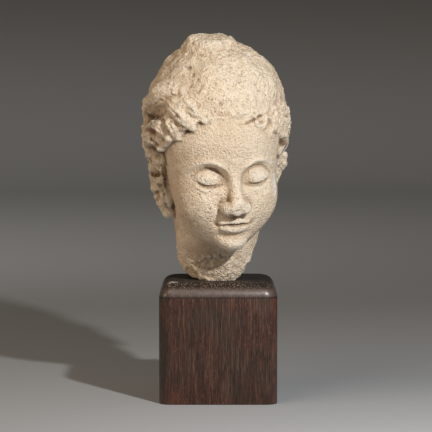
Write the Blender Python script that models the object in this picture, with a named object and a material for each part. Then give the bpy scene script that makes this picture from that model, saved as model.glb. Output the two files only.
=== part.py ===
"""A life-worn stucco head standing on a wooden block.

Metres, +Z up. The block stands on the ground round the origin, and the head looks towards -Y.
"""

import math

import bmesh
import bpy
import numpy as np
from mathutils import Euler, Matrix, Vector

# Driving sizes of the head
HEAD_HEIGHT = 0.190
HEAD_TURN = 13.0
HEAD_NOD = 8.5
HEAD_LEAN = -2.5

# Driving sizes of the block
BLOCK_WIDTH = 0.090
BLOCK_DEPTH = 0.090
BLOCK_HEIGHT = 0.092
CORNER_RADIUS = 0.009
TOP_ROUND = 0.010
ROUND_STEP = 0.0007
FOOT_CHAMFER = 0.0008
CORNER_STEPS = 6
ROUND_STEPS = 6

# Where the head rests on the block, and the point of the head that rests there, in parts
REST_GAP = 0.0003
REST_X = 0.0045
REST_Y = -0.012
REST_POINT = (0.5, -5.0, 1.2)

# Fineness of the head's skin: grains in parts, triangles kept, and how much the plain sides give up
ROUGH_GRAIN = 1.6
FINE_GRAIN = 0.5
SKIN_TRIANGLES = 9000
PLAIN_WEIGHT = 0.02

# The head is laid out in parts, a hundredth of its height, standing upright and facing -Y,
# with z = 0 at the end of the neck. The face is three equal thirds, and an eye is a fifth of it.
PART = HEAD_HEIGHT / 100
CHIN = 17.5
THIRD = 17.7
NOSE = CHIN + THIRD
BROW = CHIN + 2 * THIRD
MOUTH = NOSE - THIRD / 3
EYE = BROW - 0.3 * THIRD
EYE_WIDTH = 9.4
HAIRLINE = CHIN + 3 * THIRD

STUCCO_COLOUR = (0.80, 0.68, 0.53, 1)
WOOD_COLOUR = (0.060, 0.032, 0.024, 1)


def ellipsoid(points, centre, radii, tilt=(0, 0, 0)):
    """Distance outside an ellipsoid, turned by tilt degrees; a fourth radius is its lower half's."""
    local = points - np.array(centre, float)
    if any(tilt):
        turn = Euler([math.radians(a) for a in tilt]).to_matrix()
        local = local @ np.array(turn)
    size = np.tile(np.array(radii[:3], float), (len(points), 1))
    size[local[:, 2] < 0, 2] = radii[-1]
    reach = np.linalg.norm(local / size, axis=1)
    slope = np.linalg.norm(local / size**2, axis=1)
    return reach * (reach - 1) / np.maximum(slope, 1e-9)


def joined(a, b, blend):
    """Union of two forms, filleted over a width of blend."""
    share = np.clip(0.5 + 0.5 * (b - a) / blend, 0, 1)
    return b * (1 - share) + a * share - blend * share * (1 - share)


def cut(a, b, blend):
    """Form a with form b taken out of it, its edge eased over a width of blend."""
    return -joined(-a, b, blend)


def trimmed(form, points, place, facing, blend):
    """The form with everything beyond a plane through a place taken off."""
    facing = np.array(facing, float)
    beyond = (points - np.array(place, float)) @ (facing / np.linalg.norm(facing))
    return -joined(-form, -beyond, blend)


def smooth_path(points, count):
    """Evenly numbered points on a curve through the given ones; extra columns follow along."""
    p = np.array(points, float)
    ends = np.vstack([2 * p[0] - p[1], p, 2 * p[-1] - p[-2]])
    out = []
    for t in np.linspace(0, len(p) - 1, count):
        i = min(int(t), len(p) - 2)
        u = t - i
        a, b, c, d = ends[i : i + 4]
        out.append(
            0.5 * (2 * b + (c - a) * u + (2 * a - 5 * b + 4 * c - d) * u**2
                   + (3 * b - a - 3 * c + d) * u**3)
        )
    return np.array(out)


def beside(path, shift):
    """A path on a flat view moved sideways by a share of its own width, its third column."""
    along_it = np.gradient(path[:, :2], axis=0)
    along_it /= np.maximum(np.linalg.norm(along_it, axis=1), 1e-9)[:, None]
    across = np.column_stack([-along_it[:, 1], along_it[:, 0]])
    moved = path.copy()
    moved[:, :2] += across * path[:, 2:3] * shift
    return moved


def along(points, path, columns):
    """Nearest distance to a path, and the path's further columns there."""
    best = np.full(len(points), 1e9)
    values = np.zeros((len(points), path.shape[1] - columns))
    for a, b in zip(path, path[1:]):
        run = (b - a)[:columns]
        share = ((points - a[:columns]) @ run) / max(run @ run, 1e-12)
        share = np.clip(share, 0, 1)[:, None]
        gap = np.linalg.norm(points - a[:columns] - share * run, axis=1)
        nearer = gap < best
        best[nearer] = gap[nearer]
        values[nearer] = (a[columns:] + share * (b - a)[columns:])[nearer]
    return best, values


def near(points, path, columns, reach):
    """Which points lie in the box round a path, widened by reach."""
    low = path[:, :columns].min(0) - reach
    high = path[:, :columns].max(0) + reach
    return np.all((points > low) & (points < high), axis=1)


def stroke(view, points, count=12):
    """Height of a soft ridge drawn on a flat view through points of (u, v, width, height)."""
    path = smooth_path(points, count)
    found = near(view, path, 2, 2.6 * path[:, 2].max())
    height = np.zeros(len(view))
    gap, size = along(view[found], path, 2)
    height[found] = size[:, 1] * np.exp(-((gap / size[:, 0]) ** 2))
    return height


def tube(points, path):
    """Distance outside a tube of changing thickness, through points of (x, y, z, radius)."""
    gap, size = along(points, path, 3)
    return gap - size[:, 0]


def tube_joined(form, points, path, blend):
    """A tube added to the form."""
    found = near(points, path, 3, path[:, 3].max() + 2 * blend + 1)
    form[found] = joined(form[found], tube(points[found], path), blend)
    return form


# The head's masses, each by centre, radii and the width of its fillet
SKULL = (
    ((0, 4, 62), (25, 28, 28), 6),
    ((0, -4, 60), (22.5, 24.3, 22), 6),
    ((0, -5.5, 43), (20.8, 21.6, 25), 6),
    ((0, -9.5, 30.5), (15.2, 17, 12.5), 6),
    ((0, -21.3, 21.8), (5.6, 6, 4.4), 4),
)
NECK = (
    ((0.1, 4.5, 24), (17.3, 16.5, 30, 36), 6),
    ((0, 7, 36), (17, 17, 20), 6),
)
CAP = (
    ((-0.3, 3.5, 64), (28.7, 31, 34.3, 27), 6),
    ((3.2, 3, 76), (22.6, 24, 19), 3),
    ((0, 10, 50), (22.5, 21.5, 22), 5),
)
TOPKNOT = ((-2.6, 2.5, 88), (12.3, 13, 16, 8), 1.0)


def masses(points, table):
    """Several ellipsoids joined in turn."""
    form = ellipsoid(points, *table[0][:2])
    for centre, radii, blend in table[1:]:
        form = joined(form, ellipsoid(points, centre, radii), blend)
    return form


def skull_and_face(p):
    """The egg of the head, the face's broad planes and the broken neck."""
    both = np.column_stack([np.abs(p[:, 0]), p[:, 1:]])
    form = masses(p, SKULL)
    form = joined(form, ellipsoid(both, (11, -14.2, 38), (8.6, 10.2, 10.5)), 5)
    neck = masses(p, NECK)
    neck = trimmed(neck, p, (17.3, 0, 19.5), (0.83, 0.1, -0.55), 1.2)
    neck = trimmed(neck, p, (0, -6, 0.6), (0.03, 0.28, -0.96), 2)
    return joined(form, neck, 2.2)


def on_face(x, z, sunk=0.0):
    """The place on the face's broad planes at x and z, sunk a little below them."""
    depth = np.linspace(-36, -8, 281)
    line = np.column_stack([np.full(281, x), depth, np.full(281, z)])
    return x, depth[np.argmax(skull_and_face(line) < 0)] + sunk, z


BALL = ((EYE_WIDTH, -19.2, EYE - 0.9), (6.2, 5.5, 5.0))


def on_ball(x, z):
    """The place on the eyeball at x and z."""
    (x0, y0, z0), radii = BALL
    left = 1 - ((x - x0) / radii[0]) ** 2 - ((z - z0) / radii[2]) ** 2
    return x, y0 - radii[1] * math.sqrt(max(left, 0.05)), z


def with_eyes(form, p):
    """Hollows under arched brows, and lowered lids over the eyeballs."""
    both = np.column_stack([np.abs(p[:, 0]), p[:, 1:]])
    middle = EYE_WIDTH
    socket = ellipsoid(both, (middle + 0.3, -28.2, EYE + 0.2), (9.2, 5.8, 6.2), (0, -4, 12))
    form = cut(form, socket, 1.4)
    form = joined(form, ellipsoid(both, *BALL), 0.7)
    across = (both[:, 0] - middle) / (EYE_WIDTH / 2)
    edge = EYE - 2.9 + 0.8 * across**2 + 0.5 * across
    lid = ellipsoid(both, (middle, -18.7, EYE - 0.4), (6.5, 6.6, 5.3), (0, 0, 8))
    form = joined(form, cut(lid, p[:, 2] - edge, 0.5), 0.6)
    lower = [
        (*on_ball(middle - 4.6, EYE - 2.9), 0.7),
        (*on_ball(middle - 2.4, EYE - 4.3), 0.9),
        (*on_ball(middle + 0.6, EYE - 4.9), 1.0),
        (*on_ball(middle + 3.4, EYE - 4.2), 0.9),
        (*on_ball(middle + 5.0, EYE - 2.6), 0.7),
    ]
    form = tube_joined(form, both, smooth_path(lower, 12), 0.8)
    brow = stroke(both[:, [0, 2]], [
        (2.6, BROW - 3.6, 1.3, 0.5),
        (5.4, BROW - 0.2, 1.2, 1.0),
        (9.6, BROW + 1.6, 1.2, 1.1),
        (14.4, BROW + 0.4, 1.3, 0.9),
        (18.6, BROW - 3.2, 1.6, 0.4),
    ])
    return form - (p[:, 1] < -8) * brow


def with_nose(form, p):
    """Bridge, tip, wings and nostrils."""
    both = np.column_stack([np.abs(p[:, 0]), p[:, 1:]])
    bridge = smooth_path([
        (0, -25.2, BROW - 0.5, 1.9),
        (0, -27.2, EYE - 0.5, 1.9),
        (0, -29.8, NOSE + 6, 2.4),
        (0, -31.9, NOSE + 2, 3.0),
    ], 9)
    form = tube_joined(form, p, bridge, 3.2)
    form = joined(form, ellipsoid(p, (0, -31.9, NOSE + 1.4), (3.3, 3.5, 3.0)), 1.6)
    form = joined(form, ellipsoid(both, (3.7, -29.2, NOSE + 1.0), (2.5, 3.6, 2.6)), 1.4)
    form = cut(form, ellipsoid(both, (2.0, -31.4, NOSE - 1.7), (1.1, 1.9, 1.4)), 0.8)
    view = both[:, [0, 2]]
    wing = stroke(view, [
        (4.4, NOSE + 4.3, 0.8, 0.3),
        (6.3, NOSE + 2.4, 0.8, 0.7),
        (6.4, NOSE - 0.4, 0.8, 0.6),
        (5.0, NOSE - 1.8, 0.8, 0.3),
    ])
    return form + (p[:, 1] < -8) * wing


def with_mouth(form, p):
    """Closed lips meeting in a level line, and the hollow over the chin."""
    both = np.column_stack([np.abs(p[:, 0]), p[:, 1:]])
    upper = smooth_path([
        (*on_face(0, MOUTH + 1.1, -0.2), 1.3),
        (*on_face(1.8, MOUTH + 1.4, -0.2), 1.35),
        (*on_face(4.2, MOUTH + 0.7, -0.1), 1.1),
        (*on_face(6.6, MOUTH - 0.2, 0.4), 0.7),
    ], 10)
    lower = smooth_path([
        (*on_face(0, MOUTH - 2.0, -0.1), 1.8),
        (*on_face(3.0, MOUTH - 1.8, -0.1), 1.6),
        (*on_face(6.2, MOUTH - 0.9, 0.4), 0.7),
    ], 9)
    found = near(both, np.vstack([upper, lower]), 3, 4)
    lips = joined(tube(both[found], upper), tube(both[found], lower), 0.3)
    form[found] = joined(form[found], lips, 1.0)
    corner = ellipsoid(both, on_face(7.7, MOUTH - 0.5, -0.7), (1.2, 1.2, 1.4))
    form = cut(form, corner, 1.6)
    view = both[:, [0, 2]]
    philtrum = stroke(view, [(0, NOSE - 1.2, 1.0, 0.3), (0, MOUTH + 3.4, 1.1, 0.5)])
    hollow = stroke(view, [
        (5.6, MOUTH - 4.4, 1.6, 0.4),
        (2.8, MOUTH - 5.2, 1.8, 0.9),
        (0, MOUTH - 5.4, 1.8, 1.0),
    ])
    return form + (p[:, 1] < -8) * (philtrum + hollow)


def turned_about(p):
    """Each point's bearing from the face's front, in degrees (the head's left is positive)."""
    return np.degrees(np.arctan2(p[:, 0], 4 - p[:, 1]))


HAIR_EDGE = (
    (0, HAIRLINE), (25, HAIRLINE - 0.4), (40, HAIRLINE - 5.2), (52, HAIRLINE - 11),
    (66, HAIRLINE - 14.5), (80, HAIRLINE - 17), (100, HAIRLINE - 25), (128, 34), (180, 31),
)


def with_hair(form, p):
    """A cap of hair, worn thin over the middle of the brow, and the stump of a topknot."""
    turned = turned_about(p)
    bearing = np.abs(turned)
    wave = 0.7 * np.sin(0.21 * turned + 0.6) + 0.4 * np.sin(0.47 * turned)
    edge = np.interp(bearing, *np.transpose(HAIR_EDGE)) + wave * (bearing < 60)
    worn = 1.3 * np.clip(1 - bearing / 34, 0, 1) * np.clip(1 - (p[:, 2] - edge) / 9, 0, 1)
    cap = cut(masses(p, CAP) + worn, p[:, 2] - edge, 1.6)
    form = joined(form, cap, 1.1)
    centre, radii, blend = TOPKNOT
    return joined(form, ellipsoid(p, centre, radii), blend)


# Locks round the face, each through points of bearing, height and thickness
LOCKS = (
    ((-61, 77.0, 2.0), (-53, 75.4, 4.2), (-44, 73.0, 4.8), (-37.5, 70.2, 3.2), (-33.5, 67.8, 1.4)),
    ((-43, 78.5, 1.4), (-36, 75.6, 2.3), (-29, 72.6, 1.9), (-23, 70.4, 1.0)),
    ((-57.5, 71.4, 1.3), (-53, 69.0, 2.6), (-48.5, 66.2, 2.4), (-45.4, 63.2, 1.0)),
    ((-79, 68.8, 1.6), (-71, 67.6, 3.1), (-62.5, 65.6, 2.9), (-55, 62.6, 1.3)),
    ((-97, 65.5, 1.8), (-88, 62.4, 4.4), (-78, 59.4, 3.4), (-68.5, 57.6, 1.5)),
    ((-46, 81.5, 2.0), (-58, 80.6, 4.4), (-74, 77.8, 5.0), (-89, 73.6, 4.2), (-99, 68, 2.0)),
    ((-104, 60, 1.6), (-97, 56.0, 3.6), (-90, 51.6, 2.8), (-86, 47.6, 1.3)),
    ((20.4, 70.8, 0.8), (20.6, 68.6, 1.1), (24, 67.2, 1.2), (28, 67.6, 1.2), (30, 69.8, 0.9)),
    ((40, 72.6, 1.2), (41.5, 69.4, 1.9), (38.5, 66.2, 1.8), (34.5, 63.6, 1.0)),
    ((50.5, 71.6, 1.3), (49, 68, 2.2), (44, 65.0, 1.9), (39, 62.4, 1.0)),
    ((57, 72.4, 1.4), (64, 70.8, 2.6), (68.5, 68.4, 2.4), (63, 66.0, 1.2)),
    ((62, 67.0, 1.3), (69.5, 64.6, 3.0), (69, 61.2, 2.3), (60, 60.6, 1.1)),
    ((74, 60.6, 1.3), (67.5, 57.0, 2.8), (58.5, 54.4, 2.0), (52, 52.4, 1.0)),
    ((80, 69.4, 1.3), (89, 63.0, 3.5), (88, 56.4, 3.1), (80, 51.4, 1.6)),
    ((99, 66, 1.4), (105, 58.6, 3.4), (100, 52.2, 2.6)),
)
STRANDS = (-0.55, 0.0, 0.5)
ROUND = math.radians(28)

# Hollows under and between the locks: bearing, height, thickness
LOCK_HOLLOWS = (
    ((-58, 74.0, 1.0), (-65, 72.6, 2.3), (-74, 70.8, 2.6), (-84, 68.0, 2.2), (-95, 66.4, 1.2)),
    ((-88, 56.8, 0.9), (-77, 55.0, 1.5), (-70.5, 53.2, 1.7), (-69, 49.5, 1.1)),
    ((60, 59.0, 1.2), (54.5, 58.2, 1.7), (51.5, 56.0, 1.0)),
)


def on_cap(bearing, height, proud=0.0):
    """The place on the cap of hair at a bearing and height."""
    (x0, y0, z0), radii, _ = CAP[0]
    tall = radii[2] if height > z0 else radii[3]
    shrink = math.sqrt(max(1 - ((height - z0) / tall) ** 2, 0))
    angle = math.radians(bearing)
    x = x0 + (radii[0] * shrink + proud) * math.sin(angle)
    y = y0 - (radii[1] * shrink + proud) * math.cos(angle)
    return x, y, height


def with_locks(form, p):
    """Heavy comma-shaped locks, each combed into strands, and the hollows under them."""
    for lock in LOCKS:
        path = smooth_path([(*on_cap(b, z, -0.4 * r), r) for b, z, r in lock], 10)
        form = tube_joined(form, p, path, 1.3)
    for line in LOCK_HOLLOWS:
        hollow = smooth_path([(*on_cap(b, z, 0.6), r) for b, z, r in line], 10)
        found = near(p, hollow, 3, 6)
        form[found] = cut(form[found], tube(p[found], hollow), 0.9)
    view = np.column_stack([turned_about(p) * ROUND, p[:, 2]])
    for number, lock in enumerate(LOCKS):
        line = smooth_path([(b * ROUND, z, r) for b, z, r in lock], 9)
        for place, shift in enumerate(STRANDS):
            groove = beside(line, shift + 0.12 * math.sin(2.3 * number + place))
            depth = (0.10 + 0.05 * math.sin(1.7 * number + 2.1 * place)) * groove[:, 2:]
            sizes = np.column_stack([groove[:, :2], np.full((9, 1), 0.5), depth])
            form = form + stroke(view, sizes, 9)
    return form


# The ear's rim from its root over the top and down to the lobe: place and thickness
EAR_RIM = (
    (21.4, -0.6, 46, 1.2), (23.2, -0.8, 50.2, 1.5), (25.2, 2.4, 52.8, 1.7), (26.0, 6.2, 50.6, 1.8),
    (25.5, 7.6, 45.5, 1.8), (24.8, 7.0, 39, 1.8), (23.4, 5.6, 33.5, 1.9), (20.4, 3.8, 28.4, 2.3),
)
EAR_PLATE = ((22.8, 3.6, 42), (3.0, 5.6, 13.2))
EAR_TILT = (0, 12, -12)

# Hollows of the ear: place and radii
EAR_HOLLOWS = (
    ((27.0, 4.2, 49.4), (1.3, 1.0, 2.4)),
    ((26.0, 2.2, 44.8), (2.4, 4.4, 1.7)),
    ((24.6, 0.6, 39.6), (1.5, 1.6, 2.4)),
    ((24.8, 4.2, 35.6), (1.8, 1.9, 2.2)),
)

# The deep line between ear and cheek: place and thickness
EAR_FRONT = (
    (24.4, -4.6, 53.0, 0.9), (23.4, -2.9, 48.0, 1.2), (22.4, -2.3, 42.5, 1.2),
    (21.2, -1.7, 36.5, 1.0), (19.4, -1.3, 30.0, 0.8),
)


# What stands of the broken rim's top: place and thickness
EAR_STUMP = ((25.4, 1.8, 50.8, 1.7), (27.6, 3.4, 48.6, 2.1), (26.6, 3.8, 44.8, 1.7), (25.0, 4.2, 41, 1.4))


def with_ears(form, p):
    """Long ears standing a little off the head, the rim of one of them broken away."""
    both = np.column_stack([np.abs(p[:, 0]), p[:, 1:]])
    ears = ellipsoid(both, *EAR_PLATE, EAR_TILT)
    ears = tube_joined(ears, both, smooth_path(EAR_RIM, 24), 1.2)
    for place, radii in EAR_HOLLOWS:
        ears = cut(ears, ellipsoid(both, place, radii, EAR_TILT), 1.0)
    beyond = np.where(p[:, 0] > 0, p[:, 0] - 26.2 + 0.16 * (46 - p[:, 2]), -20.0)
    ears = tube_joined(cut(ears, -beyond, 0.8), p, smooth_path(EAR_STUMP, 10), 0.8)
    form = joined(form, ears, 1.4)
    front = smooth_path(EAR_FRONT, 14)
    found = near(both, front, 3, 4)
    form[found] = cut(form[found], tube(both[found], front), 0.7)
    return form


def with_breaks(form, p):
    """The snapped topknot, the chipped nose and the unevenness of a worn crown."""
    worn = np.clip((p[:, 2] - HAIRLINE) / 6, 0, 1)
    swell = np.sin(0.33 * p[:, 0] + 0.9) * np.sin(0.29 * p[:, 1] + 0.4) * np.sin(0.37 * p[:, 2])
    form = form + 0.55 * worn * swell
    form = trimmed(form, p, (-1, 3, 99.4), (0.05, -0.04, 1), 1.1)
    return trimmed(form, p, (0, -33.6, NOSE + 1), (0.25, -0.94, -0.2), 0.8)


def head_form(p):
    """How far each point lies outside the head, in parts."""
    form = skull_and_face(p)
    form = with_eyes(form, p)
    form = with_nose(form, p)
    form = with_mouth(form, p)
    form = with_hair(form, p)
    form = with_ears(form, p)
    form = with_locks(form, p)
    return with_breaks(form, p)


def clay(name):
    """Overlapping rough lumps of the head's masses, in parts, to be skinned and then shaped."""
    bm = bmesh.new()

    def lump(centre, radii, fineness=4, tilt=(0, 0, 0)):
        turn = Euler([math.radians(a) for a in tilt]).to_matrix().to_4x4()
        place = Matrix.Translation(centre) @ turn @ Matrix.Diagonal((*radii, 1))
        bmesh.ops.create_icosphere(bm, subdivisions=fineness, radius=1, matrix=place)

    for centre, radii, _ in (*SKULL, *CAP, TOPKNOT):
        lump(centre, radii[:3])
    lump((-1, 4, 22), (15, 15, 19))
    lump((0, -30, 39), (3, 4, 7), 2)
    for x, y, z, r in smooth_path(EAR_RIM, 19):
        lump((-x, y, z), (r, r, r), 2)
        lump((x, y, z), (r, r, r), 2)
    (x, y, z), radii = EAR_PLATE
    over, round_it = EAR_TILT[1:]
    lump((-x, y, z), radii, 3, (0, -over, -round_it))
    lump((x, y, z), radii, 3, EAR_TILT)
    for lock in LOCKS:
        for b, z, r in smooth_path(lock, 6):
            lump(on_cap(b, z, -0.4 * r), (r, r, r), 2)
    mesh = bpy.data.meshes.new(name)
    bm.to_mesh(mesh)
    bm.free()
    obj = bpy.data.objects.new(name, mesh)
    bpy.context.scene.collection.objects.link(obj)
    return obj


def apply_modifier(obj, kind, **settings):
    """Adds a modifier to the object and applies it."""
    modifier = obj.modifiers.new(kind.title(), kind)
    for key, value in settings.items():
        setattr(modifier, key, value)
    with bpy.context.temp_override(object=obj, active_object=obj):
        bpy.ops.object.modifier_apply(modifier=modifier.name)


def skinned(obj, grain):
    """Skins the object's outside as one shell of even grain, with no pocket left inside."""
    apply_modifier(obj, "REMESH", mode="VOXEL", voxel_size=grain, adaptivity=0)
    bm = bmesh.new()
    bm.from_mesh(obj.data)
    outer = {max(bm.verts, key=lambda v: v.co.z)}
    fresh = list(outer)
    while fresh:
        beside_it = {e.other_vert(v) for v in fresh for e in v.link_edges} - outer
        outer |= beside_it
        fresh = list(beside_it)
    bmesh.ops.delete(bm, geom=[v for v in bm.verts if v not in outer], context="VERTS")
    bm.to_mesh(obj.data)
    bm.free()


def points_of(mesh):
    flat = np.empty(len(mesh.vertices) * 3)
    mesh.vertices.foreach_get("co", flat)
    return flat.reshape(-1, 3)


def shape_to(obj, form, passes, reach=1.5, ease=0.3):
    """Moves the skin's points along their normals until they lie on the form, easing kinks."""
    for turn in range(passes):
        if turn == passes // 2:
            apply_modifier(obj, "SMOOTH", factor=ease, iterations=2)
        mesh = obj.data
        p = points_of(mesh)
        normals = np.empty(len(p) * 3)
        mesh.vertices.foreach_get("normal", normals)
        normals = normals.reshape(-1, 3)
        here = form(p)
        slope = (form(p + 0.05 * normals) - here) / 0.05
        step = np.clip(here / np.maximum(slope, 0.5), -reach, reach)
        mesh.vertices.foreach_set("co", (p - normals * step[:, None]).ravel())
        mesh.update()


def region(p):
    """How freely each point may be dropped: least on the face and locks, most at the back."""
    front = np.clip((p[:, 1] + 12) / 30, 0, 1)
    fringe = np.exp(-(((p[:, 2] - 62) / 13) ** 2)) * (np.abs(turned_about(p)) < 115)
    crown = np.clip((p[:, 2] - HAIRLINE - 6) / 6, 0, 1)
    neck = np.clip((CHIN - 2 - p[:, 2]) / 4, 0, 1)
    return np.clip(np.maximum.reduce([front - 0.7 * fringe, 0.9 * crown, 0.9 * neck]), 0.02, 1)


def thin_out(obj, wanted):
    """Drops triangles, first where the form is plain, until about the wanted number is left."""
    group = obj.vertex_groups.new(name="Plain")
    for index, weight in enumerate(region(points_of(obj.data))):
        group.add([index], float(weight), "REPLACE")
    ratio = wanted / (2 * len(obj.data.polygons))
    apply_modifier(obj, "DECIMATE", ratio=ratio, vertex_group="Plain",
                   vertex_group_factor=PLAIN_WEIGHT, use_collapse_triangulate=True)
    obj.vertex_groups.clear()


def stucco_head():
    """The head, upright and at its real size: lumps skinned as one and shaped to the form."""
    head = clay("stucco_head")
    skinned(head, ROUGH_GRAIN)
    shape_to(head, head_form, 5)
    skinned(head, FINE_GRAIN)
    shape_to(head, head_form, 4, reach=0.6)
    thin_out(head, SKIN_TRIANGLES)
    head.data.transform(Matrix.Scale(PART, 4))
    return head


def set_on_block(head, top):
    """Poses the head on the block's top, on a small flat cut at its foot."""
    head.rotation_euler = [math.radians(a) for a in (HEAD_NOD, HEAD_LEAN, HEAD_TURN)]
    pose = head.rotation_euler.to_matrix()
    rest = Vector(REST_POINT) * PART
    head.location = Vector((REST_X, REST_Y, top + REST_GAP)) - pose @ rest
    down = -np.array(pose.inverted() @ Vector((0, 0, 1)))
    p = points_of(head.data)
    below = np.maximum((p - np.array(rest)) @ down, 0)
    head.data.vertices.foreach_set("co", (p - below[:, None] * down).ravel())
    head.data.update()


def rounded_outline(half_width, half_depth, radius):
    """Corners of a rectangle with rounded corners, anticlockwise."""
    out = []
    for quarter in range(4):
        sign_x = 1 if quarter in (0, 3) else -1
        sign_y = 1 if quarter in (0, 1) else -1
        for step in range(CORNER_STEPS + 1):
            angle = math.radians(90 * (quarter + step / CORNER_STEPS))
            x = sign_x * (half_width - radius) + radius * math.cos(angle)
            y = sign_y * (half_depth - radius) + radius * math.sin(angle)
            out.append((x, y))
    return out


def block_levels():
    """How far each level of the block is set in from its sides, and its height."""
    shoulder = BLOCK_HEIGHT - TOP_ROUND
    levels = [(FOOT_CHAMFER, 0), (0, FOOT_CHAMFER), (0, shoulder)]
    for step in range(ROUND_STEPS + 1):
        angle = math.radians(90 * step / ROUND_STEPS)
        inset = ROUND_STEP + TOP_ROUND * (1 - math.cos(angle))
        levels.append((inset, shoulder + TOP_ROUND * math.sin(angle)))
    return levels


def wood_block():
    """A square block with rounded upright edges and a rounded-over top above a fine step."""
    bm = bmesh.new()
    rings = []
    for inset, z in block_levels():
        radius = max(CORNER_RADIUS - inset, FOOT_CHAMFER)
        outline = rounded_outline(BLOCK_WIDTH / 2 - inset, BLOCK_DEPTH / 2 - inset, radius)
        rings.append([bm.verts.new((x, y, z)) for x, y in outline])
    for lower, upper in zip(rings, rings[1:]):
        for i in range(len(lower)):
            j = (i + 1) % len(lower)
            bm.faces.new((lower[i], lower[j], upper[j], upper[i]))
    bm.faces.new(rings[0][::-1])
    bm.faces.new(rings[-1])
    mesh = bpy.data.meshes.new("wood_block")
    bm.to_mesh(mesh)
    bm.free()
    block = bpy.data.objects.new("wood_block", mesh)
    bpy.context.scene.collection.objects.link(block)
    return block


def finish(obj, colour, roughness):
    """Gives a piece its material and smooth shading."""
    material = bpy.data.materials.new(obj.name)
    material.use_nodes = True
    shader = material.node_tree.nodes["Principled BSDF"]
    shader.inputs["Base Color"].default_value = colour
    shader.inputs["Roughness"].default_value = roughness
    shader.inputs["Metallic"].default_value = 0.0
    obj.data.materials.append(material)
    obj.data.shade_smooth()
    obj.data.set_sharp_from_angle(angle=math.radians(40))


def main():
    for old in list(bpy.data.objects):
        bpy.data.objects.remove(old)
    block = wood_block()
    head = stucco_head()
    set_on_block(head, BLOCK_HEIGHT)
    finish(block, WOOD_COLOUR, 0.45)
    finish(head, STUCCO_COLOUR, 0.9)


main()
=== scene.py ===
"""A time-worn stucco head on its waxed wood block, on a pale floor under soft studio light."""

import math

import bmesh
import bpy
import numpy as np
from mathutils import Euler, Matrix, Vector, noise


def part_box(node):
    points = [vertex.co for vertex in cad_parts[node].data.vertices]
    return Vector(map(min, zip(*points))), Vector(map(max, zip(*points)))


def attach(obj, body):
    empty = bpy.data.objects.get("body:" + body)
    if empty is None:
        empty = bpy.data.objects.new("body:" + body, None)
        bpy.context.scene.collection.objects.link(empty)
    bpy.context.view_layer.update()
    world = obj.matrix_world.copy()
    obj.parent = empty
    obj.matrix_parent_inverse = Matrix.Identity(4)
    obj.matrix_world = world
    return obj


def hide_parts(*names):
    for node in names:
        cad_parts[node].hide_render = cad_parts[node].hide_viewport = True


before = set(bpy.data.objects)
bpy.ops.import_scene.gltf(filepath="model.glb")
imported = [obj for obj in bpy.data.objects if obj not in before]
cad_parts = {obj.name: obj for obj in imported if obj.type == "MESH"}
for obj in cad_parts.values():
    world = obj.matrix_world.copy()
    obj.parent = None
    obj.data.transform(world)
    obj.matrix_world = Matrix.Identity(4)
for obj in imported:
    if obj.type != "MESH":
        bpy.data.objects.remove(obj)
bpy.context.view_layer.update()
bpy.ops.object.select_all(action="DESELECT")
scene = bpy.context.scene
for old in ("Cube", "Light", "Camera"):
    if old in bpy.data.objects:
        bpy.data.objects.remove(bpy.data.objects[old])

# The camera: a little above the neck's height, with a long lens
CAMERA_TARGET = Vector((-0.00167, 0, 0.14034))
CAMERA_RISE = math.radians(4.43)
CAMERA_DISTANCE = 1.75
FRAME_SPAN = 0.33429
SENSOR_WIDTH = 36

towards = Vector((0, -math.cos(CAMERA_RISE), math.sin(CAMERA_RISE)))
bpy.ops.object.camera_add(
    location=CAMERA_TARGET + towards * CAMERA_DISTANCE,
    rotation=(math.radians(90) - CAMERA_RISE, 0, 0),
)
camera = bpy.context.object
camera.data.sensor_width = SENSOR_WIDTH
camera.data.lens = SENSOR_WIDTH * CAMERA_DISTANCE / FRAME_SPAN
scene.camera = camera
scene.view_settings.view_transform = "Standard"

# The head's sizes in parts of a hundredth of its height, and how it is set on the block
PART = 0.0019
REST_POINT = Vector((0.5, -5.0, 1.2)) * PART
REST_GAP = 0.0003
BLOCK_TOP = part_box("wood_block")[1].z
REST_PLACE = Vector((0.0045, -0.012, BLOCK_TOP + REST_GAP))
TURN = Euler([math.radians(a) for a in (8.5, -2.5, 13.0)]).to_matrix().to_4x4()
POSE = Matrix.Translation(REST_PLACE - TURN @ REST_POINT) @ TURN

# Heights of the face by thirds, the eye's place from the middle, and the depths, front to back,
# between which the face lies
CHIN = 17.5
THIRD = 17.7
NOSE = CHIN + THIRD
BROW = CHIN + 2 * THIRD
MOUTH = NOSE - THIRD / 3
EYE = BROW - 0.3 * THIRD
EYE_WIDTH = 9.4
HAIRLINE = CHIN + 3 * THIRD
FACE_DEPTHS = (-36, -8)


def mirrored(points):
    """The points with those of the head's right half brought over to its left."""
    return np.column_stack([np.abs(points[:, 0]), points[:, 1:]])


def ellipsoid(points, centre, radii, tilt=(0, 0, 0)):
    """Distance outside an ellipsoid turned by tilt degrees; a fourth radius is for below."""
    local = points - np.array(centre, float)
    if any(tilt):
        turn = Euler([math.radians(a) for a in tilt]).to_matrix()
        local = local @ np.array(turn)
    size = np.tile(np.array(radii[:3], float), (len(points), 1))
    size[local[:, 2] < 0, 2] = radii[-1]
    reach = np.linalg.norm(local / size, axis=1)
    slope = np.linalg.norm(local / size**2, axis=1)
    return reach * (reach - 1) / np.maximum(slope, 1e-9)


def joined(a, b, blend):
    """Union of two forms, filleted over a width of blend."""
    share = np.clip(0.5 + 0.5 * (b - a) / blend, 0, 1)
    return b * (1 - share) + a * share - blend * share * (1 - share)


def cut(a, b, blend):
    """Form a with form b taken out of it, its edge eased over a width of blend."""
    return -joined(-a, b, blend)


def trimmed(form, points, place, facing, blend):
    """The form with everything beyond a plane through a place taken off."""
    facing = np.array(facing, float)
    beyond = (points - np.array(place, float)) @ (facing / np.linalg.norm(facing))
    return -joined(-form, -beyond, blend)


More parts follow.
